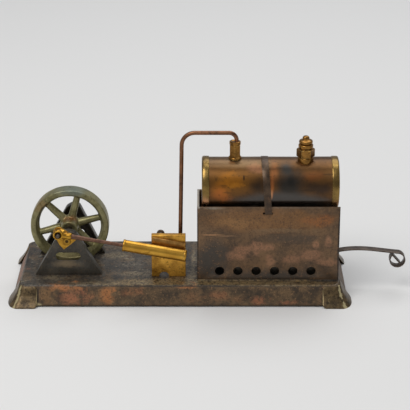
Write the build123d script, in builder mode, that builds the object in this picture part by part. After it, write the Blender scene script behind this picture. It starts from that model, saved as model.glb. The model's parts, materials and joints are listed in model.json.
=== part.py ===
"""Toy stationary steam engine: spirit-fired boiler, oscillating cylinder, flywheel. Millimetres, +Z up."""

import os
from math import atan2, cos, degrees, hypot, radians, sin

from build123d import *

os.makedirs("parts", exist_ok=True)

# Tray: a folded sheet with flared skirts, standing on four pressed corner feet
plate_w = 86.0
plate_z = 15.6
sheet = 0.8
skirt_low = 1.4
skirt_slope = 0.5
corner_r = 5.0
rolled_edge = 0.7
foot_t = 0.9
foot_top_gap = 0.9
foot_bend_z = 8.4
foot_flare_z = 3.4
foot_ease = 0.8
foot_kick = 1.7
foot_lobe = 13.0
foot_round = 3.0

# Firebox, set at the right end of the plate
fire_l = 109.2
fire_w = 37.4
fire_h = 61.4
fire_front = 8.3
fire_right = 0.3
fire_gap = 9.0
end_round = 3.0
right_end_drop = 10.0
air_d = 7.2
air_n = 6
air_pitch = 14.13
air_rise = 8.1
air_shift = 2.0
door_w = 28.0
door_h = 36.0

# Boiler: tube, two pressed caps, two saddles and the strap that holds it down
boiler_r = 19.5
boiler_wall = 0.7
boiler_rise = 13.3
boiler_left_in = 3.5
boiler_right_in = 1.0
cap_wall = 0.7
cap_end = 1.4
cap_edge = 1.2
cap_len = 5.6
strap_w = 6.2
strap_t = 0.5
strap_left = 2.0
strap_drop = 5.4
strap_tuck = 2.0
slot_play = 0.6
saddle_in = 9.0
saddle_lap = 3.5
saddle_below = 8.5

# Fittings on top of the boiler
union_in = 25.4
union_r = 4.3
union_h = 14.0
union_ring_h = 1.6
union_ring_r = 5.1
union_collar_h = 3.0
valve_in = 25.6
valve_fore = 3.0
valve_bush_r = 6.0
valve_bush_h = 2.7
valve_hex_r = 7.0
valve_hex_h = 6.4
valve_neck_r = 5.6
valve_neck_h = 3.9
valve_ring_r = 5.2
valve_ring_h = 3.2
valve_dome_r = 2.7
valve_dome_h = 3.1
valve_edge = 0.7

# Steam pipe and the block it feeds
pipe_r = 1.6
pipe_rise = 6.4
pipe_bend = 5.8
pipe_shoulder = 10.0
pipe_in = 4.4
pipe_lean = 1.8
pipe_off = 1.2
block_w = 26.4
block_h = 34.7
block_t = 5.0
block_front = 15.8
block_left = 6.4
notch_r = 3.9
notch_in = 9.6

# Crankshaft line: brackets, bushes and flywheel
shaft_in = 35.9
shaft_r = 2.0
shaft_out = 8.0
run_gap = 0.35
bracket_front = 19.2
bracket_span = 48.4
bracket_t = 1.2
bracket_d = 7.0
rear_top_w = 13.4
bracket_batter = 0.44
front_over = 4.6
top_round = 0.42
rear_over = 11.5
slot_l = 19.4
slot_h = 6.6
slot_rise = 15.6
bush_r = 3.2
bush_l = 4.6
bush_out = 1.0
wheel_r = 30.7
wheel_clear = 0.5
wheel_back = 46.8
rim_depth = 7.0
rim_w = 10.0
rim_edge = 1.8
hub_r = 6.8
hub_front = 11.5
hub_back = 6.5
hub_edge = 0.8
spoke_n = 6
spoke_r0 = 2.9
spoke_r1 = 2.1
spoke_phase = 75.0

# Crank, rod and oscillating cylinder work in one plane in front of the bracket
throw = 9.6
crank_deg = 129.5
web_front = 12.4
web_t = 2.4
web_w = 12.6
web_end = 3.8
web_pin_r = 4.2
web_taper_from = 1.5
rod_front = 9.0
rod_r = 1.45
eye_r = 3.7
eye_t = 5.6
socket_r = 2.7
socket_l = 7.0
pin_r = 1.6
pin_out = 2.4
pin_gap = 0.4
pivot_span = 71.4
pivot_rise = 24.3
cyl_r = 4.7
bore_r = 3.5
cyl_left = 28.7
cyl_right = 20.9
end_t = 2.2
piston_l = 7.0
piston_in = 17.0
port_l = 26.0
port_up = 8.6
port_low = 6.4
port_t = 2.3
port_shift = 6.0
stud_r = 1.6
stud_l = 31.0
spring_r = 2.7
nut_r = 3.1
nut_t = 4.0

# Spirit burner that slides out of the right end
burner_gap = 0.4
tank_in = 7.0
tank_short = 31.2
tank_w = 22.0
tank_h = 13.0
tank_corner = 4.0
wick_n = 3
wick_r = 3.6
wick_wall = 0.6
wick_h = 9.0
wick_left = 9.0
wick_right = 8.0
strip_w = 6.7
strip_t = 0.9
strip_door_rise = 17.4
strip_rise = 19.0
strip_crest = 22.0
strip_lap = 12.0
handle_reach = 53.4
loop_r = 5.8
loop_rise = 10.4
loop_turn = 315
tail_x = 2.4
tail_drop = 3.2

# Places that follow from those sizes; the origin is under the middle of the whole length
foot_flare = skirt_slope * plate_z + foot_kick + foot_t
engine_l = shaft_in + pivot_span - block_left + block_w
plate_l = engine_l + fire_gap + fire_l + fire_right
overall_l = foot_flare + plate_l - fire_right + handle_reach
plate_x0 = -overall_l / 2 + foot_flare
plate_x = plate_x0 + plate_l / 2
front_y = -plate_w / 2
fire_x1 = plate_x0 + plate_l - fire_right
fire_x0 = fire_x1 - fire_l
fire_cx = (fire_x0 + fire_x1) / 2
fire_y0 = front_y + fire_front
fire_z = plate_z + fire_h
fire_in_w = fire_w - 2 * sheet
boiler_x0 = fire_x0 + boiler_left_in
boiler_x1 = fire_x1 - boiler_right_in
boiler_cx = (boiler_x0 + boiler_x1) / 2
boiler_y = fire_y0 + fire_w / 2
boiler_z = fire_z + boiler_rise
boiler_top = boiler_z + boiler_r
strap_x = boiler_cx - strap_left
union_x = boiler_x0 + union_in
union_top = boiler_top + union_h
valve_x = boiler_x1 - valve_in
valve_y = boiler_y - valve_fore
pipe_top = union_top + pipe_rise
shaft_x = plate_x0 + shaft_in
shaft_z = plate_z + wheel_r + wheel_clear
front_bracket_y = front_y + bracket_front
bracket_mid_y = front_bracket_y + bracket_span / 2
front_bracket_h = wheel_r + wheel_clear + front_over
rear_bracket_y = front_bracket_y + bracket_span
rear_bracket_h = wheel_r + wheel_clear + rear_over
bracket_w = rear_top_w + 2 * bracket_batter * rear_bracket_h
front_top_w = bracket_w - 2 * bracket_batter * front_bracket_h
wheel_y = front_y + wheel_back
web_y0 = front_y + web_front
rod_y = front_y + rod_front
pivot_x = shaft_x + pivot_span
pivot_z = plate_z + pivot_rise
block_x0 = pivot_x - block_left
block_y0 = front_y + block_front
block_y1 = block_y0 + block_t
pipe_x = block_x0 + block_w - pipe_in
pipe_in_z = plate_z + block_h / 2
port_y1 = block_y0 - run_gap
stud_y1 = block_y0 + stud_l
tank_x1 = fire_x1 - tank_in
tank_l = fire_l - tank_short
tank_x0 = tank_x1 - tank_l
tank_cx = (tank_x0 + tank_x1) / 2
wick_x0 = tank_x0 + wick_left
wick_x1 = tank_x1 - strip_lap - wick_right
tank_z = plate_z + burner_gap
lid_z = tank_z + tank_h - sheet

# Where the crank pin stands and how the rod leans at rest
pin_x = shaft_x + throw * cos(radians(crank_deg))
pin_z = shaft_z + throw * sin(radians(crank_deg))
lean = degrees(atan2(pin_z - pivot_z, pivot_x - pin_x))
reach = hypot(pin_x - pivot_x, pin_z - pivot_z)
to_crank = (-cos(radians(lean)), 0, sin(radians(lean)))
from_crank = (cos(radians(lean)), 0, -sin(radians(lean)))
crank_dir = (cos(radians(crank_deg)), 0, sin(radians(crank_deg)))

# Working planes that several pieces share
boiler_end = Plane((boiler_x0, boiler_y, boiler_z), x_dir=(0, 1, 0), z_dir=(1, 0, 0))
rod_axis = Plane((pivot_x, rod_y, pivot_z), x_dir=(0, 1, 0), z_dir=to_crank)
wheel_mid = Plane((shaft_x, wheel_y, shaft_z), x_dir=(1, 0, 0), z_dir=(0, -1, 0))
front_bracket_face = Plane((shaft_x, front_bracket_y, plate_z), x_dir=(1, 0, 0), z_dir=(0, -1, 0))
rear_bracket_face = Plane((shaft_x, rear_bracket_y, plate_z), x_dir=(-1, 0, 0), z_dir=(0, 1, 0))
boiler_middle = Plane.YZ.offset(boiler_cx)
firebox_middle = Plane((0, boiler_y, 0), z_dir=(0, 1, 0))
bracket_middle = Plane((0, bracket_mid_y, 0), z_dir=(0, 1, 0))
tray_middle = Plane.YZ.offset(plate_x)

edge_in = 2 * rolled_edge
edge_out = 2 * skirt_slope * rolled_edge
skirt_out = 2 * skirt_slope * (plate_z - skirt_low)

with BuildPart() as base_tray:
    for level, out in ((plate_z, -edge_in), (plate_z - rolled_edge, edge_out), (skirt_low, skirt_out)):
        with BuildSketch(Plane((plate_x, 0, level))):
            RectangleRounded(plate_l + out, plate_w + out, corner_r)
    loft(ruled=True)
    for level, out in ((plate_z - sheet, -sheet), (skirt_low, skirt_out - 2 * sheet)):
        with BuildSketch(Plane((plate_x, 0, level))):
            RectangleRounded(plate_l + out, plate_w + out, corner_r - sheet)
    loft(ruled=True, mode=Mode.SUBTRACT)
base_tray.part.label = "base_tray"
export_step(base_tray.part, "parts/base_tray.step")

# Corner foot: lies on the skirt above, eases off it and kicks out at the ground
foot_top = plate_z - foot_top_gap
top_out = 2 * skirt_slope * (plate_z - foot_top)
bend_out = 2 * skirt_slope * (plate_z - foot_bend_z)
flare_out = 2 * (skirt_slope * (plate_z - foot_flare_z) + foot_ease)
ground_out = 2 * (skirt_slope * plate_z + foot_kick)
foot_levels = ((foot_top, top_out), (foot_bend_z, bend_out), (foot_flare_z, flare_out), (0, ground_out))
foot_x1 = plate_x0 + foot_lobe
foot_y1 = front_y + foot_lobe
foot_span = foot_lobe + 2 * foot_flare

with BuildPart() as foot_front_left:
    for level, out in foot_levels:
        with BuildSketch(Plane((plate_x, 0, level))):
            RectangleRounded(plate_l + out + 2 * foot_t, plate_w + out + 2 * foot_t, corner_r + foot_t)
    loft(ruled=True)
    for level, out in foot_levels:
        with BuildSketch(Plane((plate_x, 0, level))):
            RectangleRounded(plate_l + out, plate_w + out, corner_r)
    loft(ruled=True, mode=Mode.SUBTRACT)
    with BuildSketch(Plane((foot_x1, 0, 0), x_dir=(1, 0, 0), z_dir=(0, -1, 0))):
        Rectangle(foot_span, foot_top, align=(Align.MAX, Align.MIN))
        fillet(vertices().group_by(Axis.X)[-1], foot_round)
    extrude(amount=plate_w, mode=Mode.INTERSECT)
    with BuildSketch(Plane((0, foot_y1, 0), x_dir=(0, 1, 0), z_dir=(1, 0, 0))):
        Rectangle(foot_span, foot_top, align=(Align.MAX, Align.MIN))
        fillet(vertices().group_by(Axis.X)[-1], foot_round)
    extrude(amount=-plate_l, mode=Mode.INTERSECT)
foot_front_left.part.label = "foot_front_left"
export_step(foot_front_left.part, "parts/foot_front_left.step")

with BuildPart() as foot_front_right:
    mirror(foot_front_left.part, about=tray_middle)
foot_front_right.part.label = "foot_front_right"
export_step(foot_front_right.part, "parts/foot_front_right.step")

with BuildPart() as foot_back_left:
    mirror(foot_front_left.part, about=Plane.XZ)
foot_back_left.part.label = "foot_back_left"
export_step(foot_back_left.part, "parts/foot_back_left.step")

with BuildPart() as foot_back_right:
    mirror(foot_back_left.part, about=tray_middle)
foot_back_right.part.label = "foot_back_right"
export_step(foot_back_right.part, "parts/foot_back_right.step")

# Firebox walls: front and back carry the air holes and the strap slot
with BuildPart() as firebox_front_wall:
    with BuildSketch(Plane((fire_cx, fire_y0, plate_z), x_dir=(1, 0, 0), z_dir=(0, -1, 0))):
        Rectangle(fire_l, fire_h, align=(Align.CENTER, Align.MIN))
        with Locations((-air_shift, air_rise)):
            with GridLocations(air_pitch, 1, air_n, 1):
                Circle(air_d / 2, mode=Mode.SUBTRACT)
        with Locations((strap_x - fire_cx, fire_h - strap_drop)):
            Rectangle(strap_w + 2 * slot_play, strap_t + 2 * slot_play, mode=Mode.SUBTRACT)
    extrude(amount=-sheet)
firebox_front_wall.part.label = "firebox_front_wall"
export_step(firebox_front_wall.part, "parts/firebox_front_wall.step")

with BuildPart() as firebox_back_wall:
    mirror(firebox_front_wall.part, about=firebox_middle)
firebox_back_wall.part.label = "firebox_back_wall"
export_step(firebox_back_wall.part, "parts/firebox_back_wall.step")

with BuildPart() as firebox_left_end:
    with BuildSketch(Plane((fire_x0, boiler_y, plate_z), x_dir=(0, 1, 0), z_dir=(1, 0, 0))):
        Rectangle(fire_in_w, fire_h, align=(Align.CENTER, Align.MIN))
        fillet(vertices().group_by(Axis.Y)[-1], end_round)
    extrude(amount=sheet)
firebox_left_end.part.label = "firebox_left_end"
export_step(firebox_left_end.part, "parts/firebox_left_end.step")

with BuildPart() as firebox_right_end:
    with BuildSketch(Plane((fire_x1, boiler_y, plate_z), x_dir=(0, 1, 0), z_dir=(1, 0, 0))):
        Rectangle(fire_in_w, fire_h - right_end_drop, align=(Align.CENTER, Align.MIN))
        Rectangle(door_w, door_h, align=(Align.CENTER, Align.MIN), mode=Mode.SUBTRACT)
    extrude(amount=-sheet)
firebox_right_end.part.label = "firebox_right_end"
export_step(firebox_right_end.part, "parts/firebox_right_end.step")

# Saddles between the walls carry the boiler
with BuildPart() as boiler_saddle_left:
    with BuildSketch(boiler_end.offset(saddle_in)):
        with Locations((0, -boiler_r - saddle_below)):
            Rectangle(fire_in_w, saddle_lap + saddle_below, align=(Align.CENTER, Align.MIN))
        Circle(boiler_r, mode=Mode.SUBTRACT)
    extrude(amount=sheet)
boiler_saddle_left.part.label = "boiler_saddle_left"
export_step(boiler_saddle_left.part, "parts/boiler_saddle_left.step")

with BuildPart() as boiler_saddle_right:
    mirror(boiler_saddle_left.part, about=boiler_middle)
boiler_saddle_right.part.label = "boiler_saddle_right"
export_step(boiler_saddle_right.part, "parts/boiler_saddle_right.step")

with BuildPart() as boiler_shell:
    with BuildSketch(boiler_end.offset(cap_end)):
        Circle(boiler_r)
        Circle(boiler_r - boiler_wall, mode=Mode.SUBTRACT)
    extrude(amount=boiler_x1 - boiler_x0 - 2 * cap_end)
boiler_shell.part.label = "boiler_shell"
export_step(boiler_shell.part, "parts/boiler_shell.step")

with BuildPart() as boiler_left_cap:
    with BuildSketch(boiler_end):
        Circle(boiler_r + cap_wall)
    extrude(amount=cap_len)
    chamfer(edges().filter_by(GeomType.CIRCLE).sort_by(Axis.X)[0], cap_edge)
    with BuildSketch(boiler_end.offset(cap_end)):
        Circle(boiler_r)
    extrude(amount=cap_len, mode=Mode.SUBTRACT)
boiler_left_cap.part.label = "boiler_left_cap"
export_step(boiler_left_cap.part, "parts/boiler_left_cap.step")

with BuildPart() as boiler_right_cap:
    mirror(boiler_left_cap.part, about=boiler_middle)
boiler_right_cap.part.label = "boiler_right_cap"
export_step(boiler_right_cap.part, "parts/boiler_right_cap.step")

# Strap: over the boiler, down outside both walls and in at the slots
strap_r = boiler_r + strap_t
strap_leg = boiler_rise + strap_drop + strap_t / 2
strap_tab = strap_r - fire_w / 2 + sheet + strap_tuck

with BuildPart() as boiler_strap:
    with BuildSketch(Plane((strap_x - strap_w / 2, boiler_y, boiler_z), x_dir=(0, 1, 0), z_dir=(1, 0, 0))):
        Circle(strap_r)
        with Locations((0, -strap_leg)):
            Rectangle(2 * strap_r, strap_leg, align=(Align.CENTER, Align.MIN))
        with Locations((0, -strap_leg)):
            Rectangle(2 * strap_r, strap_r, align=(Align.CENTER, Align.MAX), mode=Mode.SUBTRACT)
        with Locations((0, -strap_leg)):
            Rectangle(2 * boiler_r, strap_leg, align=(Align.CENTER, Align.MIN), mode=Mode.SUBTRACT)
        Circle(boiler_r, mode=Mode.SUBTRACT)
        with Locations((-strap_r, -strap_leg)):
            Rectangle(strap_tab, strap_t, align=(Align.MIN, Align.MIN))
        with Locations((strap_r, -strap_leg)):
            Rectangle(strap_tab, strap_t, align=(Align.MAX, Align.MIN))
    extrude(amount=strap_w)
boiler_strap.part.label = "boiler_strap"
export_step(boiler_strap.part, "parts/boiler_strap.step")

# Union and safety valve, each saddled onto the shell
with BuildPart() as steam_union:
    with BuildSketch(Plane((union_x, boiler_y, boiler_z))):
        Circle(union_ring_r)
    extrude(amount=boiler_r + union_ring_h)
    with BuildSketch(Plane((union_x, boiler_y, boiler_top + union_ring_h))):
        RegularPolygon(union_r, 6)
    extrude(amount=union_h - union_ring_h - union_collar_h)
    with BuildSketch(Plane((union_x, boiler_y, union_top - union_collar_h))):
        Circle(union_r)
    extrude(amount=union_collar_h)
    with BuildSketch(boiler_end):
        Circle(boiler_r)
    extrude(amount=boiler_x1 - boiler_x0, mode=Mode.SUBTRACT)
steam_union.part.label = "steam_union"
export_step(steam_union.part, "parts/steam_union.step")

hex_z = boiler_top + valve_bush_h
neck_z = hex_z + valve_hex_h
ring_z = neck_z + valve_neck_h
dome_z = ring_z + valve_ring_h

with BuildPart() as safety_valve_bush:
    with BuildSketch(Plane((valve_x, valve_y, boiler_z))):
        Circle(valve_bush_r)
    extrude(amount=boiler_r + valve_bush_h)
    chamfer(edges().filter_by(GeomType.CIRCLE).sort_by(Axis.Z)[-1], valve_edge)
    with BuildSketch(boiler_end):
        Circle(boiler_r)
    extrude(amount=boiler_x1 - boiler_x0, mode=Mode.SUBTRACT)
safety_valve_bush.part.label = "safety_valve_bush"
export_step(safety_valve_bush.part, "parts/safety_valve_bush.step")

with BuildPart() as safety_valve_body:
    with BuildSketch(Plane((valve_x, valve_y, hex_z))):
        RegularPolygon(valve_hex_r, 6)
    extrude(amount=valve_hex_h)
    with BuildSketch(Plane((valve_x, valve_y, neck_z))):
        Circle(valve_neck_r)
    extrude(amount=valve_neck_h)
    chamfer(edges().filter_by(GeomType.CIRCLE).sort_by(Axis.Z)[-1], valve_edge)
safety_valve_body.part.label = "safety_valve_body"
export_step(safety_valve_body.part, "parts/safety_valve_body.step")

with BuildPart() as safety_valve_cap:
    with BuildSketch(Plane((valve_x, valve_y, ring_z))):
        Circle(valve_ring_r)
    extrude(amount=valve_ring_h)
    chamfer(edges().filter_by(GeomType.CIRCLE).sort_by(Axis.Z)[-1], valve_edge)
    with BuildSketch(Plane((valve_x, valve_y, dome_z))):
        Circle(valve_dome_r)
    extrude(amount=valve_dome_h)
    fillet(edges().filter_by(GeomType.CIRCLE).sort_by(Axis.Z)[-1], valve_dome_r - valve_edge)
safety_valve_cap.part.label = "safety_valve_cap"
export_step(safety_valve_cap.part, "parts/safety_valve_cap.step")

# Steam pipe: up from the union, over to the left, down and forward into the block
with BuildPart() as steam_pipe:
    with BuildLine() as pipe_path:
        FilletPolyline(
            (union_x + pipe_off, boiler_y, union_top),
            (union_x + pipe_off, boiler_y, pipe_top),
            (pipe_x + pipe_lean, boiler_y, pipe_top),
            (pipe_x, boiler_y, pipe_in_z),
            (pipe_x, block_y1, pipe_in_z),
            radius=(pipe_bend, pipe_shoulder, pipe_bend),
        )
    with BuildSketch(Plane((union_x + pipe_off, boiler_y, union_top))):
        Circle(pipe_r)
    sweep(path=pipe_path.wires()[0])
steam_pipe.part.label = "steam_pipe"
export_step(steam_pipe.part, "parts/steam_pipe.step")

with BuildPart() as steam_block:
    with BuildSketch(Plane((block_x0, block_y1, plate_z), x_dir=(1, 0, 0), z_dir=(0, -1, 0))):
        Rectangle(block_w, block_h, align=(Align.MIN, Align.MIN))
        with Locations((notch_in, 0)):
            Circle(notch_r, mode=Mode.SUBTRACT)
        with Locations((pivot_x - block_x0, pivot_rise)):
            Circle(stud_r + run_gap, mode=Mode.SUBTRACT)
    extrude(amount=block_t)
steam_block.part.label = "steam_block"
export_step(steam_block.part, "parts/steam_block.step")

# Bearing brackets: pressed pedestals, open at one side, slotted under the bush; the rear one is taller
with BuildPart() as front_bracket:
    with BuildSketch(front_bracket_face.offset(-bracket_d)):
        with BuildLine():
            Polyline(
                (-bracket_w / 2, 0),
                (bracket_w / 2, 0),
                (front_top_w / 2, front_bracket_h),
                (-front_top_w / 2, front_bracket_h),
                close=True,
            )
        make_face()
        fillet(vertices().group_by(Axis.Y)[-1], top_round * front_top_w)
    extrude(amount=bracket_d)
    offset(amount=-bracket_t, openings=faces().sort_by(Axis.Y)[-1])
    with BuildSketch(front_bracket_face):
        with Locations((0, slot_rise)):
            SlotOverall(slot_l, slot_h)
        with Locations((0, shaft_z - plate_z)):
            Circle(bush_r)
    extrude(amount=-bracket_t, mode=Mode.SUBTRACT)
front_bracket.part.label = "front_bracket"
export_step(front_bracket.part, "parts/front_bracket.step")

with BuildPart() as rear_bracket:
    with BuildSketch(rear_bracket_face.offset(-bracket_d)):
        with BuildLine():
            Polyline(
                (-bracket_w / 2, 0),
                (bracket_w / 2, 0),
                (rear_top_w / 2, rear_bracket_h),
                (-rear_top_w / 2, rear_bracket_h),
                close=True,
            )
        make_face()
        fillet(vertices().group_by(Axis.Y)[-1], top_round * rear_top_w)
    extrude(amount=bracket_d)
    offset(amount=-bracket_t, openings=faces().sort_by(Axis.Y)[0])
    with BuildSketch(rear_bracket_face):
        with Locations((0, slot_rise)):
            SlotOverall(slot_l, slot_h)
        with Locations((0, shaft_z - plate_z)):
            Circle(bush_r)
    extrude(amount=-bracket_t, mode=Mode.SUBTRACT)
rear_bracket.part.label = "rear_bracket"
export_step(rear_bracket.part, "parts/rear_bracket.step")

with BuildPart() as front_bearing:
    with BuildSketch(Plane((shaft_x, front_bracket_y - bush_out, shaft_z), z_dir=(0, 1, 0))):
        Circle(bush_r)
        Circle(shaft_r + run_gap, mode=Mode.SUBTRACT)
    extrude(amount=bush_l)
front_bearing.part.label = "front_bearing"
export_step(front_bearing.part, "parts/front_bearing.step")

with BuildPart() as rear_bearing:
    mirror(front_bearing.part, about=bracket_middle)
rear_bearing.part.label = "rear_bearing"
export_step(rear_bearing.part, "parts/rear_bearing.step")

# Flywheel: deep rim with eased edges, tapered spokes and a long hub on the crankshaft
with BuildPart() as flywheel:
    with BuildSketch(wheel_mid.offset(-rim_w / 2)):
        Circle(wheel_r)
        Circle(wheel_r - rim_depth, mode=Mode.SUBTRACT)
    extrude(amount=rim_w)
    chamfer(edges().filter_by(GeomType.CIRCLE), rim_edge)
    for k in range(spoke_n):
        spoke_deg = radians(spoke_phase + 360 / spoke_n * k)
        spoke_dir = (cos(spoke_deg), 0, sin(spoke_deg))
        spoke = Plane((shaft_x, wheel_y, shaft_z), x_dir=(0, 1, 0), z_dir=spoke_dir)
        with BuildSketch(spoke.offset(hub_r / 2)):
            Circle(spoke_r0)
        with BuildSketch(spoke.offset(wheel_r - rim_depth / 2)):
            Circle(spoke_r1)
        loft(ruled=True)
    with BuildSketch(wheel_mid.offset(-hub_back)):
        Circle(hub_r)
    extrude(amount=hub_front + hub_back)
    chamfer(edges().filter_by(GeomType.CIRCLE).filter_by(lambda e: abs(e.radius - hub_r) < 0.01), hub_edge)
    with BuildSketch(wheel_mid.offset(-hub_back)):
        Circle(shaft_r)
    extrude(amount=hub_front + hub_back, mode=Mode.SUBTRACT)
flywheel.part.label = "flywheel"
export_step(flywheel.part, "parts/flywheel.step")

with BuildPart() as crankshaft:
    with BuildSketch(Plane((shaft_x, web_y0, shaft_z), z_dir=(0, 1, 0))):
        Circle(shaft_r)
    extrude(amount=rear_bracket_y + shaft_out - web_y0)
crankshaft.part.label = "crankshaft"
export_step(crankshaft.part, "parts/crankshaft.step")

with BuildPart() as crank_web:
    with BuildSketch(Plane((shaft_x, web_y0 + web_t, shaft_z), x_dir=crank_dir, z_dir=(0, -1, 0))):
        with BuildLine():
            Polyline(
                (-web_end, -web_w / 2),
                (web_taper_from, -web_w / 2),
                (throw, -web_pin_r),
                (throw, web_pin_r),
                (web_taper_from, web_w / 2),
                (-web_end, web_w / 2),
                close=True,
            )
        make_face()
        with Locations((throw, 0)):
            Circle(web_pin_r)
        Circle(shaft_r, mode=Mode.SUBTRACT)
    extrude(amount=web_t)
crank_web.part.label = "crank_web"
export_step(crank_web.part, "parts/crank_web.step")

# Oscillating cylinder with its port plate, held on the block by a stud and spring
with BuildPart() as cylinder_tube:
    with BuildSketch(rod_axis.offset(end_t - cyl_right)):
        Circle(cyl_r)
        Circle(bore_r, mode=Mode.SUBTRACT)
    extrude(amount=cyl_left + cyl_right - end_t)
cylinder_tube.part.label = "cylinder_tube"
export_step(cylinder_tube.part, "parts/cylinder_tube.step")

with BuildPart() as cylinder_end_cap:
    with BuildSketch(rod_axis.offset(-cyl_right)):
        Circle(cyl_r)
    extrude(amount=end_t)
cylinder_end_cap.part.label = "cylinder_end_cap"
export_step(cylinder_end_cap.part, "parts/cylinder_end_cap.step")

with BuildPart() as port_plate:
    with BuildSketch(Plane((pivot_x, port_y1, pivot_z), x_dir=from_crank, z_dir=(0, -1, 0))):
        with Locations((port_shift, -port_low)):
            Rectangle(port_l, port_up + port_low, align=(Align.CENTER, Align.MIN))
    extrude(amount=port_t)
    with BuildSketch(rod_axis.offset(-cyl_right)):
        Circle(cyl_r)
    extrude(amount=cyl_left + cyl_right, mode=Mode.SUBTRACT)
port_plate.part.label = "port_plate"
export_step(port_plate.part, "parts/port_plate.step")

with BuildPart() as pivot_stud:
    with BuildSketch(Plane((pivot_x, port_y1, pivot_z), z_dir=(0, 1, 0))):
        Circle(stud_r)
    extrude(amount=stud_y1 - port_y1)
pivot_stud.part.label = "pivot_stud"
export_step(pivot_stud.part, "parts/pivot_stud.step")

with BuildPart() as pivot_spring:
    with BuildSketch(Plane((pivot_x, block_y1 + run_gap, pivot_z), z_dir=(0, 1, 0))):
        Circle(spring_r)
        Circle(stud_r, mode=Mode.SUBTRACT)
    extrude(amount=stud_y1 - nut_t - block_y1 - run_gap)
pivot_spring.part.label = "pivot_spring"
export_step(pivot_spring.part, "parts/pivot_spring.step")

with BuildPart() as pivot_nut:
    with BuildSketch(Plane((pivot_x, stud_y1 - nut_t, pivot_z), z_dir=(0, 1, 0))):
        Circle(nut_r)
        Circle(stud_r, mode=Mode.SUBTRACT)
    extrude(amount=nut_t)
pivot_nut.part.label = "pivot_nut"
export_step(pivot_nut.part, "parts/pivot_nut.step")

# Piston, rod and big end; the crank pin rides in the eye and stops just short of the web
piston_face = cyl_left - piston_in
socket_start = reach - eye_r - socket_l
eye_y0 = rod_y - eye_t / 2

with BuildPart() as piston:
    with BuildSketch(rod_axis.offset(piston_face - piston_l)):
        Circle(bore_r - run_gap)
    extrude(amount=piston_l)
piston.part.label = "piston"
export_step(piston.part, "parts/piston.step")

with BuildPart() as piston_rod:
    with BuildSketch(rod_axis.offset(piston_face)):
        Circle(rod_r)
    extrude(amount=socket_start - piston_face)
piston_rod.part.label = "piston_rod"
export_step(piston_rod.part, "parts/piston_rod.step")

with BuildPart() as big_end:
    with BuildSketch(rod_axis.offset(socket_start)):
        Circle(socket_r)
    extrude(amount=socket_l + eye_r - pin_r)
    with BuildSketch(Plane((pin_x, eye_y0, pin_z), z_dir=(0, 1, 0))):
        Circle(eye_r)
    extrude(amount=eye_t)
    with BuildSketch(Plane((pin_x, eye_y0, pin_z), z_dir=(0, 1, 0))):
        Circle(pin_r)
    extrude(amount=eye_t, mode=Mode.SUBTRACT)
big_end.part.label = "big_end"
export_step(big_end.part, "parts/big_end.step")

with BuildPart() as crankpin:
    with BuildSketch(Plane((pin_x, eye_y0 - pin_out, pin_z), z_dir=(0, 1, 0))):
        Circle(pin_r)
    extrude(amount=web_y0 - pin_gap - eye_y0 + pin_out)
crankpin.part.label = "crankpin"
export_step(crankpin.part, "parts/crankpin.step")

# Spirit burner: tank, lid, wick tubes and a strip handle curled at its end
with BuildPart() as burner_tank:
    with BuildSketch(Plane((tank_cx, boiler_y, tank_z))):
        RectangleRounded(tank_l, tank_w, tank_corner)
    extrude(amount=tank_h - sheet)
    with BuildSketch(Plane((tank_cx, boiler_y, tank_z + sheet))):
        RectangleRounded(tank_l - 2 * sheet, tank_w - 2 * sheet, tank_corner - sheet)
    extrude(amount=tank_h, mode=Mode.SUBTRACT)
burner_tank.part.label = "burner_tank"
export_step(burner_tank.part, "parts/burner_tank.step")

with BuildPart() as burner_lid:
    with BuildSketch(Plane((tank_cx, boiler_y, lid_z))):
        RectangleRounded(tank_l, tank_w, tank_corner)
    extrude(amount=sheet)
burner_lid.part.label = "burner_lid"
export_step(burner_lid.part, "parts/burner_lid.step")

with BuildPart() as wick_tubes:
    with BuildSketch(Plane(((wick_x0 + wick_x1) / 2, boiler_y, lid_z + sheet))):
        with GridLocations((wick_x1 - wick_x0) / (wick_n - 1), 1, wick_n, 1):
            Circle(wick_r)
            Circle(wick_r - wick_wall, mode=Mode.SUBTRACT)
    extrude(amount=wick_h)
wick_tubes.part.label = "wick_tubes"
export_step(wick_tubes.part, "parts/wick_tubes.step")

strip_mid = lid_z + sheet + strip_t / 2
strip_turn = tank_x1 - strip_lap / 3
loop_x = fire_x1 + handle_reach - loop_r - strip_t / 2
loop_z = plate_z + loop_rise

with BuildPart() as burner_handle:
    with BuildSketch(Plane((0, boiler_y + strip_w / 2, 0), x_dir=(1, 0, 0), z_dir=(0, -1, 0))):
        with BuildLine():
            Line((tank_x1 - strip_lap, strip_mid), (strip_turn, strip_mid))
            rise = Spline(
                (strip_turn, strip_mid),
                (fire_x1, plate_z + strip_door_rise),
                (fire_x1 + strip_crest, plate_z + strip_rise),
                (loop_x, loop_z + loop_r),
                tangents=((1, 0.3), (1, -0.1)),
            )
            loop_arc = CenterArc((loop_x, loop_z), loop_r, 90, -loop_turn)
            Line(loop_arc @ 1, (loop_x + tail_x, loop_z - tail_drop))
        trace(line_width=strip_t)
    extrude(amount=strip_w)
burner_handle.part.label = "burner_handle"
export_step(burner_handle.part, "parts/burner_handle.step")
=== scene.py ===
import json
from math import atan2, cos, pi, radians, sin

import bmesh
import bpy
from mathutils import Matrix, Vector, noise


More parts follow.
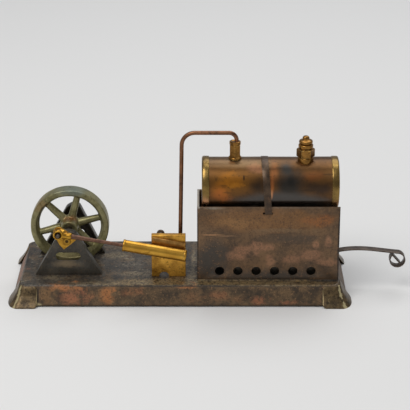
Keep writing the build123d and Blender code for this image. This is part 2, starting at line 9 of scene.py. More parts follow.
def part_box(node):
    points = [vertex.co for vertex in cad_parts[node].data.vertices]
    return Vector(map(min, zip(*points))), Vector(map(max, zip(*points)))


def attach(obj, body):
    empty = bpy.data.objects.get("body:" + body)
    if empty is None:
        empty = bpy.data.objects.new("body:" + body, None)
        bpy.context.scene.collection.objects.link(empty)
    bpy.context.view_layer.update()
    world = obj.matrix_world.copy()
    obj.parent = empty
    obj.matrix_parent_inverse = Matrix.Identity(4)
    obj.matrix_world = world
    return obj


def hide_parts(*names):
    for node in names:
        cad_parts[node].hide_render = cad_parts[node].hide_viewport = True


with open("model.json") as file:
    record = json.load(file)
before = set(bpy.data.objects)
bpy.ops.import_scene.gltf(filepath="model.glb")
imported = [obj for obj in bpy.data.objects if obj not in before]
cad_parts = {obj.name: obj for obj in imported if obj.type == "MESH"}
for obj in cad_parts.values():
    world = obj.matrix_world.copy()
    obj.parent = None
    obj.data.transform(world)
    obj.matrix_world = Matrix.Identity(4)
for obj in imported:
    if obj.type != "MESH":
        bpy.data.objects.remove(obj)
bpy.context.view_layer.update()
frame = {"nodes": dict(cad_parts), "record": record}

MM = 0.001
X, Y, Z = (1, 0, 0), (0, 1, 0), (0, 0, 1)
nodes = frame["nodes"]
body_of_node = {n: body for body, members in frame["record"]["behaviour"]["bodies"].items() for n in members}
node_slot = {part["node"]: part["material_slot"] for part in frame["record"]["subparts"]}


def tone(r, g, b):
    """An sRGB colour, 0 to 255, as the linear colour that a shader takes."""
    def lin(c):
        c = c / 255
        return c / 12.92 if c <= 0.04045 else ((c + 0.055) / 1.055) ** 2.4
    return (lin(r), lin(g), lin(b), 1.0)


def span(node):
    """The two ends of a CAD node's box, in millimetres."""
    return [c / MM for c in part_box(node)]


def middle(node):
    """The middle of a CAD node's box, in millimetres."""
    low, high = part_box(node)
    return (low + high) / 2 / MM


# Measures of the engine, in millimetres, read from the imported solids
plate_low, plate_high = span("base_tray")
fire_low, fire_high = span("firebox_front_wall")
shell_low, shell_high = span("boiler_shell")
wheel_low, wheel_high = span("flywheel")
plate_mid = (plate_low + plate_high) / 2
plate_z = plate_high.z
boiler_r = (shell_high.z - shell_low.z) / 2
boiler_mid = (shell_low + shell_high) / 2
boiler_front = boiler_mid.y - boiler_r
shaft_mid = middle("crankshaft")
wheel_r = (wheel_high.z - wheel_low.z) / 2
pin, pivot = middle("crankpin"), middle("pivot_stud")

# The unit line of the rod, from the crank pin to the pivot of the cylinder
rod_line = Vector((pivot.x - pin.x, 0, pivot.z - pin.z)).normalized()
# Where the patches of the finishes count X from
drawn_x = fire_low.x + 7.95
# How far the feet lean out from top to bottom, and how far their corners are drawn in at the bottom
FOOT_FLARE, FOOT_PULL = 11.0, 4.0
# The inside of the firebox, up to where the boiler hides it
SHEET_EDGE, CHAMBER_TOP = 0.4, 14.0
chamber_low = fire_low + Vector((SHEET_EDGE, SHEET_EDGE, -1.0))
fire_back = span("firebox_back_wall")[1].y
chamber_high = Vector((fire_high.x - SHEET_EDGE, fire_back - SHEET_EDGE, fire_high.z - CHAMBER_TOP))


class Web:
    """A node tree, with short ways of adding to it."""

    def __init__(self, tree, out=None):
        self.tree, self.out = tree, out

    def feed(self, socket, value):
        """Links a socket, or sets its own value."""
        if isinstance(value, bpy.types.NodeSocket):
            self.tree.links.new(value, socket)
        else:
            socket.default_value = value

    def put(self, kind, sockets, **settings):
        """Adds a node; sockets says what goes into it, by socket name or number."""
        node = self.tree.nodes.new(kind)
        for key, value in settings.items():
            setattr(node, key, value)
        for key, value in sockets.items():
            self.feed(node.inputs[key], value)
        return node

    def first(self, kind, sockets, **settings):
        """Adds a node and gives its first output."""
        return self.put(kind, sockets, **settings).outputs[0]

    def end(self, value):
        """Sends a value out of the tree, which is then done."""
        self.feed(self.out, value)
        return self.tree

    def sums(self, operation, a, b=0.0):
        return self.first("ShaderNodeMath", {0: a, 1: b}, operation=operation)

    def vectors(self, operation, a, b=(0, 0, 0)):
        node = self.put("ShaderNodeVectorMath", {0: a, 1: b}, operation=operation)
        return node.outputs["Value" if operation in ("LENGTH", "DOT_PRODUCT") else "Vector"]

    def fade(self, value, low, high):
        """A smooth step from 0 at low to 1 at high."""
        ends = {"Value": value, "From Min": low, "From Max": high}
        return self.first("ShaderNodeMapRange", ends, interpolation_type="SMOOTHSTEP")

    def cloud(self, vector, scale, detail=4.0, rough=0.55, output=0):
        """Noise as a value, or as a colour from output 1."""
        looks = {"Vector": vector, "Scale": scale, "Detail": detail, "Roughness": rough}
        return self.put("ShaderNodeTexNoise", looks).outputs[output]

    def blend(self, mask, black, white):
        """One colour where the mask is black, the other where it is white."""
        return self.put("ShaderNodeMix", {"Factor": mask, 6: black, 7: white}, data_type="RGBA").outputs[2]

    def axes(self, vector):
        return self.put("ShaderNodeSeparateXYZ", {0: vector}).outputs


def web_of(kind, name, output, inputs):
    """An empty node group with named inputs, by kind, and one output: its web and its inputs."""
    tree = bpy.data.node_groups.new(name, kind)
    for socket, labels in inputs.items():
        for label in labels.split():
            tree.interface.new_socket(name=label, in_out="INPUT", socket_type="NodeSocket" + socket)
    label, socket = output
    tree.interface.new_socket(name=label, in_out="OUTPUT", socket_type="NodeSocket" + socket)
    return Web(tree, tree.nodes.new("NodeGroupOutput").inputs[0]), tree.nodes.new("NodeGroupInput").outputs


# Shader groups shared by the finishes

def group(name, output=("Mask", "Float"), **inputs):
    return web_of("ShaderNodeTree", name, output, inputs)


def mottle_group():
    """Two colours run into each other in clouds."""
    web, given = group("metal_mottle", ("Color", "Color"), Vector="Vector", Float="Scale Spread", Color="Dark Light")
    low, high = (web.sums(side, 0.5, given["Spread"]) for side in ("SUBTRACT", "ADD"))
    mask = web.fade(web.cloud(given["Vector"], given["Scale"], 9.0, 0.7), low, high)
    return web.end(web.blend(mask, given["Dark"], given["Light"]))


def patch_group():
    """White within an ellipsoid with a ragged border, swayed out of its shape and opened by pores."""
    web, given = group("ragged_patch", Vector="Vector Centre Size Sway", Float="Softness Ragged Grain Pores")
    spot, grain = given["Vector"], given["Grain"]
    sway = web.vectors("SUBTRACT", web.cloud(spot, grain, 3.0, 0.5, 1), (0.5, 0.5, 0.5))
    away = web.vectors("DIVIDE", web.vectors("SUBTRACT", spot, given["Centre"]), given["Size"])
    away = web.vectors("ADD", away, web.vectors("MULTIPLY", sway, given["Sway"]))
    ragged = web.sums("SUBTRACT", web.cloud(spot, grain, 8.0, 0.68), 0.5)
    shift = web.sums("MULTIPLY", ragged, web.sums("MULTIPLY", given["Ragged"], 4.0))
    reach = web.sums("ADD", web.vectors("LENGTH", away), shift)
    mask = web.fade(reach, 1.0, web.sums("SUBTRACT", 1.0, given["Softness"]))
    pores = web.fade(web.cloud(spot, 780.0, 4.0, 0.65), 0.42, 0.56)
    open_share = web.sums("MULTIPLY", web.sums("SUBTRACT", 1.0, pores), given["Pores"])
    return web.end(web.sums("MULTIPLY", mask, web.sums("SUBTRACT", 1.0, open_share)))


def speckle_group():
    web, given = group("rust_speckle", Vector="Vector Stretch", Float="Scale Amount Sharp")
    spot = web.vectors("MULTIPLY", given["Vector"], given["Stretch"])
    edge = web.sums("SUBTRACT", 1.0, given["Amount"])
    fine = web.cloud(spot, given["Scale"], 5.0, 0.62)
    return web.end(web.fade(fine, edge, web.sums("ADD", edge, given["Sharp"])))


def edge_group():
    web, given = group("worn_edge", Vector="Vector", Float="Width Breaks Amount")
    round_off = web.put("ShaderNodeBevel", {"Radius": given["Width"]}, samples=6)
    flat = web.put("ShaderNodeNewGeometry", {})
    turn = web.vectors("DOT_PRODUCT", round_off.outputs["Normal"], flat.outputs["Normal"])
    breaks = web.fade(web.cloud(given["Vector"], given["Breaks"], 5.0, 0.65), 0.38, 0.6)
    worn = web.sums("MULTIPLY", web.fade(turn, 0.985, 0.86), breaks)
    return web.end(web.sums("MULTIPLY", worn, given["Amount"]))


def crease_group():
    """White along the fold at a foot's corner; the four feet share one, mirrored about the plate's middle."""
    web, given = group("crease_wear_and_highlight", Vector="Vector Middle Start Across", Float="Width")
    folded = web.vectors("ABSOLUTE", web.vectors("SUBTRACT", given["Vector"], given["Middle"]))
    off = web.vectors("DOT_PRODUCT", web.vectors("SUBTRACT", folded, given["Start"]), given["Across"])
    wear = web.sums("SUBTRACT", web.cloud(given["Vector"], 260.0, 5.0, 0.65), 0.38)
    patchy = web.sums("MAXIMUM", web.sums("MULTIPLY", wear, 7.0), 0.05)
    reach = web.sums("MULTIPLY", given["Width"], patchy)
    return web.end(web.fade(web.sums("ABSOLUTE", off), reach, web.sums("MULTIPLY", reach, 0.35)))


def ripple_group():
    web, given = group("sheet_ripple", ("Height", "Float"), Vector="Vector", Float="Dents Grit Share")
    dents = web.cloud(given["Vector"], given["Dents"], 2.0)
    grit = web.cloud(given["Vector"], given["Grit"], 4.0, 0.6)
    return web.end(web.sums("ADD", dents, web.sums("MULTIPLY", grit, given["Share"])))


def chamber_group():
    """White within a box: the inside of the firebox, which the flame has blackened."""
    web, given = group("sooted_chamber", Vector="Vector Low High")
    soft, mask = 0.0002, 1.0
    for corner, ends in (("Low", (-soft, soft)), ("High", (soft, -soft))):
        split = web.axes(web.vectors("SUBTRACT", given["Vector"], given[corner]))
        for axis in range(3):
            mask = web.sums("MULTIPLY", web.fade(split[axis], *ends), mask)
    return web.end(mask)


MOTTLE = mottle_group()
PATCH = patch_group()
SPECKLE = speckle_group()
EDGE = edge_group()
CREASE = crease_group()
RIPPLE = ripple_group()
CHAMBER = chamber_group()


class Finish(Web):
    """A metal finish that is laid on coat by coat, all of it placed by the part's own coordinates."""

    def __init__(self, name, metal, gloss, dark, light, scale, spread):
        self.mat = bpy.data.materials.new(name)
        self.mat.use_nodes = True
        super().__init__(self.mat.node_tree)
        self.shader = self.tree.nodes["Principled BSDF"].inputs
        self.shader["Metallic"].default_value = metal
        self.place = self.put("ShaderNodeTexCoord", {}).outputs["Object"]
        self.colour = self.mottle(dark, light, scale, spread)
        self.rough = gloss
        self.film = None

    def use(self, shared, **values):
        return self.first("ShaderNodeGroup", {"Vector": self.place, **values}, node_tree=shared)

    def mottle(self, dark, light, scale, spread):
        return self.use(MOTTLE, Scale=scale, Spread=spread, Dark=tone(*dark), Light=tone(*light))

    def coat(self, mask, colour, share=1.0, rough=None):
        """Lays a colour, and a roughness with it, where the mask is white."""
        if share != 1.0:
            mask = self.sums("MULTIPLY", mask, share)
        self.colour = self.blend(mask, self.colour, tone(*colour) if isinstance(colour, tuple) else colour)
        if rough is not None:
            self.rough = self.first("ShaderNodeMix", {"Factor": mask, 2: self.rough, 3: rough}, data_type="FLOAT")

    def patch(self, centre, size, colour, soft, ragged, grain, share, pores=0.0, sway=0.0, rough=None, film=False):
        """A ragged patch; with film it also has a clear film on it."""
        spot = ((centre[0] + drawn_x) * MM, centre[1] * MM, centre[2] * MM)
        mask = self.use(PATCH, Centre=spot, Size=[s * MM for s in size], Softness=soft, Ragged=ragged, Grain=grain,
                        Pores=pores, Sway=(sway, sway, sway))
        if film:
            self.film = mask
        self.coat(mask, colour, share, rough)

    def upright(self, y, reach, rows):
        """Patches on an upright face: x, z, width, height, colour, and the rest as patch takes it."""
        for x, z, w, h, colour, *wear in rows:
            self.patch((x, y, z), (w, reach, h), colour, *wear)

    def speckle(self, colour, scale, amount, sharp, share, rough=None, stretch=(1, 1, 1)):
        self.coat(self.use(SPECKLE, Scale=scale, Amount=amount, Sharp=sharp, Stretch=stretch), colour, share, rough)

    def edges(self, colour, width, breaks, amount, rough):
        self.coat(self.use(EDGE, Width=width * MM, Breaks=breaks, Amount=amount), colour, 1.0, rough)

    def below(self, limit, soft, colour, share, rough):
        """A coat on what lies lower than limit millimetres."""
        mask = self.fade(self.axes(self.place)[2], (limit + soft) * MM, (limit - soft) * MM)
        self.coat(mask, colour, share, rough)

    def sooted(self, share):
        """Soot on whatever lies within the firebox."""
        mask = self.use(CHAMBER, Low=chamber_low * MM, High=chamber_high * MM)
        self.coat(mask, (16, 14, 13), share, 0.9)

    def done(self, dents=60.0, grit=900.0, grit_share=0.2, bump=0.25, depth=0.4):
        """Gives the surface its dents and grit, and returns the material."""
        self.feed(self.shader["Base Color"], self.colour)
        self.feed(self.shader["Roughness"], self.rough)
        if self.film:
            self.feed(self.shader["Coat Weight"], self.film)
            self.shader["Coat Roughness"].default_value = 0.2
        height = self.use(RIPPLE, Dents=dents, Grit=grit, Share=grit_share)
        rise = self.put("ShaderNodeBump", {"Strength": bump, "Distance": depth * MM, "Height": height})
        self.feed(self.shader["Normal"], rise.outputs["Normal"])
        return self.mat


# Finishes

def base_tin():
    """Dark lacquer gone slate and brown on top; rust showing through on the skirts."""
    f = Finish("tray_tin", 0.3, 0.44, (30, 29, 29), (90, 83, 74), 44, 0.17)
    f.speckle((104, 84, 60), 60, 0.5, 0.1, 0.6)
    f.speckle((166, 156, 132), 230, 0.4, 0.08, 0.6, stretch=(0.35, 1, 1))
    front = plate_low.y + 7.5
    f.patch((-30, front + 4, plate_z), (100, 11, 4), (164, 140, 98), 0.7, 0.4, 160, 0.75, 0.75, 1.2)
    # partly the tin's own khaki and partly painted light: the strip in front of the firebox is lightened against the
    # firebox's shade
    f.patch((46, front + 2, plate_z), (66, 8, 4), (142, 118, 80), 0.4, 0.2, 160, 0.7, 0.5)
    for x, y, w, d in (
        (-56, -22, 18, 7), (-75, 14, 14, 9), (-20, -30, 16, 9), (-122, -30, 10, 6), (-11, 6, 3, 30),
        (-12, -28, 5, 18), (-85, front + 2.6, 4, 2.4), (-71, front + 3, 4, 2.4), (-50, front + 3, 12, 2.8),
    ):
        f.patch((x, y, plate_z), (w, d, 4), (146, 131, 104), 0.8, 0.5, 150, 0.75, 0.6, 1.2)
    f.patch((-88, -34, plate_z), (26, 8, 4), (30, 29, 29), 0.8, 0.4, 120, 0.7, 0.4, 1.0)
    f.speckle((22, 20, 18), 480, 0.48, 0.07, 0.75)
    f.speckle((160, 146, 116), 560, 0.37, 0.05, 0.65)
    f.below(plate_z - 0.9, 0.35, f.mottle((54, 42, 28), (104, 81, 54), 120, 0.16), 0.96, 0.52)
    skirt = plate_low.y + 3.5
    rust, orange, brown, dark = (152, 95, 64), (172, 110, 60), (124, 87, 56), (44, 35, 25)
    f.upright(skirt, 14, [(*row, 0.8, 0.5, 170, share, 0.3, 1.6) for *row, share in (
        (-112, 13.5, 18, 3.4, orange, 0.8), (-103, 6.5, 16, 7, rust, 0.85), (-125, 8, 10, 7, (128, 94, 58), 0.65),
        (-78, 8, 7.5, 8, orange, 0.8), (-89, 9, 8, 6, brown, 0.55), (-58, 11, 13, 4.5, (134, 88, 56), 0.7),
        (-17.6, 14.2, 9, 2.2, orange, 0.85), (-11, 7, 13, 6.5, brown, 0.65), (8.4, 8, 10, 5.5, (138, 90, 58), 0.7),
        (24, 6, 9, 4, brown, 0.55), (39.5, 4.5, 8.5, 4.2, rust, 0.75), (63, 3.2, 13, 2.4, rust, 0.7),
    )])
    f.upright(skirt, 14, [(*row, dark, 0.9, 0.4, 150, 0.6, 0.3, 1.6) for row in (
        (-70, 5, 5, 5), (-36, 8, 15, 5), (28, 12, 9, 4), (80, 9, 10, 5), (-98, 9, 2.5, 2.5), (-116, 5, 3, 4),
    )])
    # painted shadow: a dark line just under the plate's front edge, where the top sheet overhangs the skirt
    f.patch((-22, front, plate_z - 0.8), (118, 3, 0.9), (30, 24, 18), 0.6, 0.3, 200, 0.85, 0, 0.3)
    foot_edge = span("foot_front_left")[1].x - drawn_x
    f.upright(skirt, 14, (
        # painted shadow: a dark line on the skirt beside the front left foot's right border, in the gap between foot
        # and skirt
        (foot_edge + 0.8, 8, 0.9, 10, (24, 19, 14), 0.7, 0.1, 200, 0.85),
        (-130, 2, 4, 1.6, (170, 156, 120), 0.8, 0.4, 200, 0.8, 0, 0.8),
    ))
    f.patch((-147, 0, 8), (9, 40, 9), (150, 98, 72), 0.6, 0.35, 110, 0.8, 0.5, 1.4)
    f.patch((109, 4, 8), (9, 40, 9), (116, 84, 60), 0.7, 0.4, 110, 0.6, 0.5, 1.4)
    f.upright(49, 12, (
        (-60, 8, 40, 8, rust, 0.7, 0.4, 110, 0.7, 0.5, 1.4), (50, 8, 34, 8, brown, 0.7, 0.4, 110, 0.6, 0.5, 1.4),
    ))
    f.speckle((42, 32, 22), 640, 0.5, 0.14, 0.6)
    f.speckle((152, 114, 76), 600, 0.43, 0.12, 0.5)
    f.edges((132, 112, 80), 0.6, 160, 0.2, 0.35)
    f.sooted(0.9)
    return f.done(45, 800, 0.25, 0.45, 0.5)


def foot_bronze():
    """Pressed corner feet, dark, with the borders rubbed bright and the corner crease both rubbed bright and lit by a
    painted highlight.
    """
    f = Finish("foot_bronze", 0.6, 0.36, (56, 45, 30), (112, 92, 62), 150, 0.18)
    f.speckle((32, 26, 18), 420, 0.46, 0.08, 0.7)
    f.speckle((150, 128, 86), 360, 0.37, 0.06, 0.5)
    low, high = span("foot_front_left")
    corner = Vector((plate_mid.x - low.x - FOOT_PULL, plate_mid.y - low.y, 0.0))
    top = Vector((plate_mid.x - low.x - FOOT_FLARE, corner.y - FOOT_FLARE, high.z))
    across = (top - corner).cross(Vector((1, 1, 0))).normalized()
    centre = Vector((plate_mid.x, plate_mid.y, 0))
    crease = f.use(CREASE, Middle=centre * MM, Start=corner * MM, Across=across, Width=1.3 * MM)
    # the crease colour is partly rubbed wear and partly a painted highlight where the fold catches the light
    f.coat(crease, (210, 194, 148), 0.8, 0.28)
    for x in (high.x, span("foot_front_right")[0].x):
        for y in (plate_low.y, plate_high.y):
            f.patch((x - drawn_x, y, 6), (0.9, 14, 10), (176, 158, 116), 0.7, 0.2, 300, 0.75)
    f.edges((190, 172, 122), 0.5, 220, 0.9, 0.3)
    return f.done(110, 800, 0.25, 0.5, 0.5)


def firebox_tin():
    """Tin that has been hot: a rust band under the boiler, pink and slate bloom below it, dark borders, and a painted
    highlight along the front wall's top edge.
    """
    f = Finish("firebox_tin", 0.35, 0.44, (70, 55, 41), (120, 91, 62), 40, 0.17)
    pink = (155, 112, 82)
    f.upright(fire_low.y, 70, [
        (46, 66, 66, 12, (126, 88, 50), 0.5, 0.2, 60, 0.9, 0.5, 0.8),
        (84, 66, 20, 7, (148, 92, 48), 0.8, 0.3, 80, 0.75, 0.5, 1.6),
        (22, 64, 26, 6, (150, 110, 66), 0.8, 0.4, 100, 0.7, 0.6, 1.6),
        (58, 57.5, 44, 2.6, (124, 100, 72), 0.8, 0.3, 90, 0.7, 0.4, 1.0),
        (3, 34, 17, 23, (60, 56, 51), 0.7, 0.22, 55, 0.9, 0, 0.8),
        (52, 18, 68, 10, (56, 50, 43), 0.7, 0.22, 55, 0.85, 0, 0.8),
        (66, 51, 38, 6, (78, 65, 52), 0.8, 0.3, 60, 0.75, 0, 0.8),
    ] + [(*row, pink, 0.6, 0.22, 110, share, 0.4, 1.5) for *row, share in (
        (28, 40, 15, 8.5, 0.85), (41, 45, 11, 5.5, 0.85), (20, 36, 8, 6, 0.65), (48, 33, 4.5, 7, 0.7),
        (83, 47, 3.6, 6, 0.85), (93, 48, 3.6, 7, 0.85), (80, 37, 12, 5.5, 0.75), (66, 33, 11, 5, 0.7),
        (90, 31, 11, 4.5, 0.65),
    )] + [
        (3, 54, 11, 0.8, (186, 138, 96), 0.9, 0.12, 120, 0.9),
        (16, 53, 12, 0.7, (150, 116, 84), 0.9, 0.2, 120, 0.7),
        # painted highlight: pale grey lines along the front wall's top edge
        (5, 76, 12, 1.6, (136, 124, 108), 0.9, 0.2, 120, 0.8),
        (60, 76.4, 40, 0.9, (120, 104, 88), 0.9, 0.4, 120, 0.7),
        (101, 45, 1.5, 40, (26, 22, 20), 0.5, 0.1, 90, 0.9),
        (-7.6, 45, 0.9, 42, (30, 26, 22), 0.5, 0.1, 90, 0.8),
        (46, plate_z + 0.7, 60, 1.0, (28, 23, 19), 0.6, 0.12, 120, 0.85),
    ])
    f.speckle((54, 41, 31), 620, 0.5, 0.15, 0.5)
    f.speckle((142, 104, 70), 560, 0.44, 0.12, 0.4)
    f.speckle((44, 37, 31), 260, 0.42, 0.1, 0.35, stretch=(0.3, 1, 1))
    f.speckle((176, 136, 94), 620, 0.37, 0.06, 0.35)
    f.edges((150, 132, 108), 0.45, 260, 0.6, 0.4)
    f.sooted(0.94)
    f.patch((-6.9, -16, 77), (2.4, 24, 4), (176, 170, 160), 0.3, 0.1, 160, 0.9)
    return f.done(42, 700, 0.25, 0.45, 0.45)


def boiler_copper():
    """Heat-coloured copper: gold on the left, orange where the flame licked, soot below and right of the strap."""
    f = Finish("boiler_copper", 0.75, 0.33, (74, 51, 29), (106, 72, 36), 34, 0.2)
    f.upright(boiler_front, 60, (
        (20, 108.6, 46, 4.0, (124, 100, 70), 0.9, 0.25, 90, 0.75),
        (18, 98, 26, 13, (128, 84, 30), 0.9, 0.14, 60, 0.9),
        (17, 98, 14, 7, (156, 98, 24), 0.9, 0.2, 90, 0.85, 0, 1.0),
        (21, 95, 10, 2.6, (186, 120, 36), 0.9, 0.5, 240, 0.75, 0, 1.6),
        (12, 96, 8, 3.0, (178, 112, 30), 0.9, 0.5, 200, 0.7, 0, 1.6),
        (10, 91, 10, 9, (164, 100, 34), 0.9, 0.2, 90, 0.8, 0, 0.8),
        (10, 87, 10, 10, (166, 95, 42), 0.95, 0.3, 100, 0.75, 0, 1.4),
        (36, 106, 9, 4, (142, 98, 68), 0.8, 0.3, 110, 0.8, 0, 1.0),
        (39, 94, 11, 8, (50, 39, 29), 0.9, 0.2, 80, 0.9, 0, 0.8),
        (84, 92, 22, 8, (56, 42, 32), 0.9, 0.2, 70, 0.9, 0, 0.8),
        (56, 79, 48, 13, (54, 47, 41), 0.5, 0.08, 50, 0.97, 0, 0, 0.36, True),
        (63, 94, 15, 14, (48, 45, 41), 0.7, 0.12, 60, 0.97, 0, 0.6, 0.38),
        (60, 105, 8, 6, (50, 50, 48), 0.8, 0.2, 90, 0.92, 0, 0.8),
        (63, 98, 4.5, 6, (30, 30, 29), 0.9, 0.2, 90, 0.6, 0, 1.0),
        (80, 101, 11, 5, (122, 72, 35), 0.9, 0.25, 90, 0.8, 0, 1.0),
        (93, 103, 6, 7, (112, 78, 42), 0.8, 0.3, 90, 0.75, 0, 1.0),
        (50.6, 103, 4.4, 10, (134, 84, 46), 0.9, 0.12, 120, 0.75),
        (48.8, 95, 2.4, 12, (158, 94, 49), 0.9, 0.08, 120, 0.85),
        (48.6, 87, 1.3, 6, (186, 126, 80), 0.8, 0.08, 120, 0.92),
        (27.5, 100, 0.8, 2.6, (44, 32, 20), 0.6, 0.12, 300, 0.95),
    ))
    f.speckle((52, 38, 22), 380, 0.42, 0.1, 0.5)
    f.speckle((50, 38, 26), 260, 0.42, 0.1, 0.45, stretch=(0.3, 1, 1))
    return f.done(34, 600, 0.08, 0.12, 0.3)


def brass(name, dark, light, gloss=0.34, scale=200.0, spots=(92, 64, 26), amount=0.42, metal=0.9,
          edge=(230, 206, 132), share=0.6):
    f = Finish(name, metal, gloss, dark, light, scale, 0.22)
    f.speckle(spots, 420, amount, 0.12, share, 0.5)
    f.edges(edge, 0.45, 240, 0.7, 0.28)
    return f


def iron(name, dark, light, edge, gloss=0.5, scale=150.0, metal=0.5, rust=(108, 74, 54), rust_share=0.3):
    f = Finish(name, metal, gloss, dark, light, scale, 0.22)
    f.speckle(rust, 420, 0.45, 0.1, rust_share)
    f.edges(edge, 0.45, 260, 0.7, 0.4)
    return f


def cap_brass():
    """Brass caps with a copper-coloured lower part."""
    f = brass("cap_brass", (96, 76, 42), (150, 122, 68), 0.27, 60, (66, 50, 28), 0.4, share=0.4)
    f.upright(boiler_front, 40, (
        (-2, 77, 6, 12, (206, 152, 110), 0.8, 0.15, 160, 0.95),
        (98, 79, 6, 6, (150, 104, 66), 0.9, 0.2, 160, 0.7),
    ))
    return f.done(110, 700, 0.05, 0.2, 0.4)


def wheel_brass():
    """A painted casting worn to olive brass, bluish on the rim, rusty round the boss; the boss's front face is
    darkened with painted shade, and the rim's bottom is lightened, partly rub and partly painted light.
    """
    f = Finish("wheel_brass", 0.6, 0.42, (100, 95, 60), (154, 147, 106), 90, 0.22)
    for x, y, z, size, *look in (
        (3, 3, 30, (22, 20, 6), (108, 118, 112), 0.8, 0.3, 120, 0.7),
        (29, 3, 4, (5, 20, 18), (124, 116, 82), 0.8, 0.3, 120, 0.6),
        (-22, 0, 18, (12, 8, 8), (136, 100, 62), 0.8, 0.5, 140, 0.6, 0.4),
        (0, 0, 6, (9, 9, 4.5), (146, 96, 56), 0.8, 0.4, 160, 0.8, 0.3),
        # painted shade: the boss's front face darkened as if in shadow
        (0, wheel_low.y, 0, (5.6, 1.4, 5.6), (70, 70, 58), 0.4, 0.1, 160, 0.9),
        # partly rubbed wear and partly painted light: the rim's bottom, seen through the front bracket's slot, is
        # lightened against the bracket's shade
        (0, 0, -27, (15, 20, 6.5), (186, 172, 124), 0.6, 0.2, 160, 0.7, 0.4),
    ):
        f.patch((shaft_mid.x - drawn_x + x, y, shaft_mid.z + z), size, *look)
    f.speckle((82, 72, 44), 300, 0.44, 0.12, 0.6)
    f.speckle((182, 172, 128), 420, 0.38, 0.1, 0.55)
    f.edges((150, 146, 112), 0.6, 200, 0.5, 0.38)
    return f.done(110, 700, 0.3, 0.4, 0.4)


def cylinder_brass():
    f = Finish("cylinder_brass", 0.9, 0.29, (176, 128, 46), (210, 162, 66), 70, 0.2)
    f.speckle((140, 100, 36), 160, 0.4, 0.1, 0.6, 0.42, (0.5, 1, 1))
    f.edges((236, 214, 150), 0.45, 240, 0.8, 0.26)
    return f.done(60, 700, 0.06, 0.12, 0.3)


def web_brass():
    """Brass with rings round the shaft's rivet: painted shade in the gap round it, a bright brass ring, and painted
    shade in its bore.
    """
    f = brass("web_brass", (146, 102, 32), (206, 158, 58), 0.34, 240, (96, 66, 22), 0.44)
    spot = (shaft_mid.x - drawn_x, span("crank_web")[0].y, shaft_mid.z)
    # the outer dark ring is painted shade in the gap round the rivet, and the dark middle is painted shade in its
    # bore
    for reach, colour in ((3.7, (104, 70, 24)), (3.0, (220, 178, 80)), (1.6, (46, 30, 16))):
        f.patch(spot, (reach, 0.75, reach), colour, 0.3, 0.04, 500, 0.95)
    return f.done(150, 700, 0.3, 0.4)


def bracket_tin():
    f = iron("bracket_tin", (50, 47, 42), (82, 77, 68), (158, 144, 114), 0.42, 90, 0.4, (104, 84, 62), 0.4)
    f.patch((shaft_mid.x - drawn_x, -24, plate_z + 9), (15, 4, 4.5), (128, 110, 84), 0.9, 0.4, 150, 0.75)
    f.speckle((30, 28, 27), 500, 0.42, 0.1, 0.5)
    return f.done(60, 800, 0.25, 0.3, 0.4)


finishes = {make.__name__: make() for make in (
    base_tin, foot_bronze, firebox_tin, boiler_copper, cap_brass, bracket_tin, wheel_brass, web_brass,
    cylinder_brass)}
for name, surface, *look in (
    ("fitting_brass", (140, 700, 0.15, 0.25), (100, 70, 32), (166, 120, 58), 0.28, 240, (62, 44, 22), 0.44),
    ("pipe_copper", (), (92, 64, 45), (144, 98, 68), 0.38, 120, (58, 42, 34), 0.44, 0.8, (176, 112, 78)),
    ("block_brass", (120, 600, 0.6, 0.6), (166, 118, 42), (236, 180, 76), 0.42, 120, (114, 82, 30), 0.46, 0.75),
    ("bearing_brass", (), (110, 86, 36), (170, 136, 62)),
    ("worn_plate", (110, 600, 0.3, 0.4), (116, 84, 42), (186, 140, 76), 0.4, 130, (74, 54, 30), 0.44, 0.9,
     (196, 160, 110)),
):
    finishes[name] = brass(name, *look).done(*surface)
for name, *look in (
    ("strap_steel", (52, 41, 32), (92, 72, 54), (186, 160, 122), 0.38, 120, 0.6),
    ("shaft_steel", (70, 62, 54), (116, 104, 92), (170, 160, 144), 0.38, 150, 0.8),
    ("spring_steel", (60, 54, 48), (110, 100, 90), (160, 150, 134), 0.4, 150, 0.8),
    ("nut_steel", (56, 42, 30), (92, 72, 52), (130, 108, 84)),
    ("rod_steel", (76, 52, 40), (124, 88, 68), (150, 122, 100), 0.42, 300, 0.5, (142, 92, 66), 0.5),
    ("burner_tin", (66, 60, 52), (112, 104, 92), (170, 160, 140)),
    ("handle_steel", (62, 52, 46), (98, 85, 75), (150, 134, 116), 0.42, 150, 0.6),
):
    finishes[name] = iron(name, *look).done()
for name, obj in nodes.items():
    finish = finishes[node_slot[name]]
    if not obj.material_slots:
        obj.data.materials.append(finish)
    for slot in obj.material_slots:
        slot.material = finish


# Ways of making pieces

def eased(points, steps):
    """A profile of (radius, along, ease) points, with each corner rounded by its own ease."""
    out = []
    for i, (x, y, *ease) in enumerate(points):
        here = Vector((x, y))
        if not ease or i in (0, len(points) - 1):
            out.append((x, y))
            continue
        back = Vector(points[i - 1][:2]) - here
        ahead = Vector(points[i + 1][:2]) - here
        reach = min(ease[0], 0.48 * back.length, 0.48 * ahead.length)
        start = here + back.normalized() * reach
        stop = here + ahead.normalized() * reach
        for k in range(steps + 1):
            t = k / steps
            spot = start * (1 - t) ** 2 + here * (2 * t * (1 - t)) + stop * t ** 2
            out.append((spot.x, spot.y))
    return out


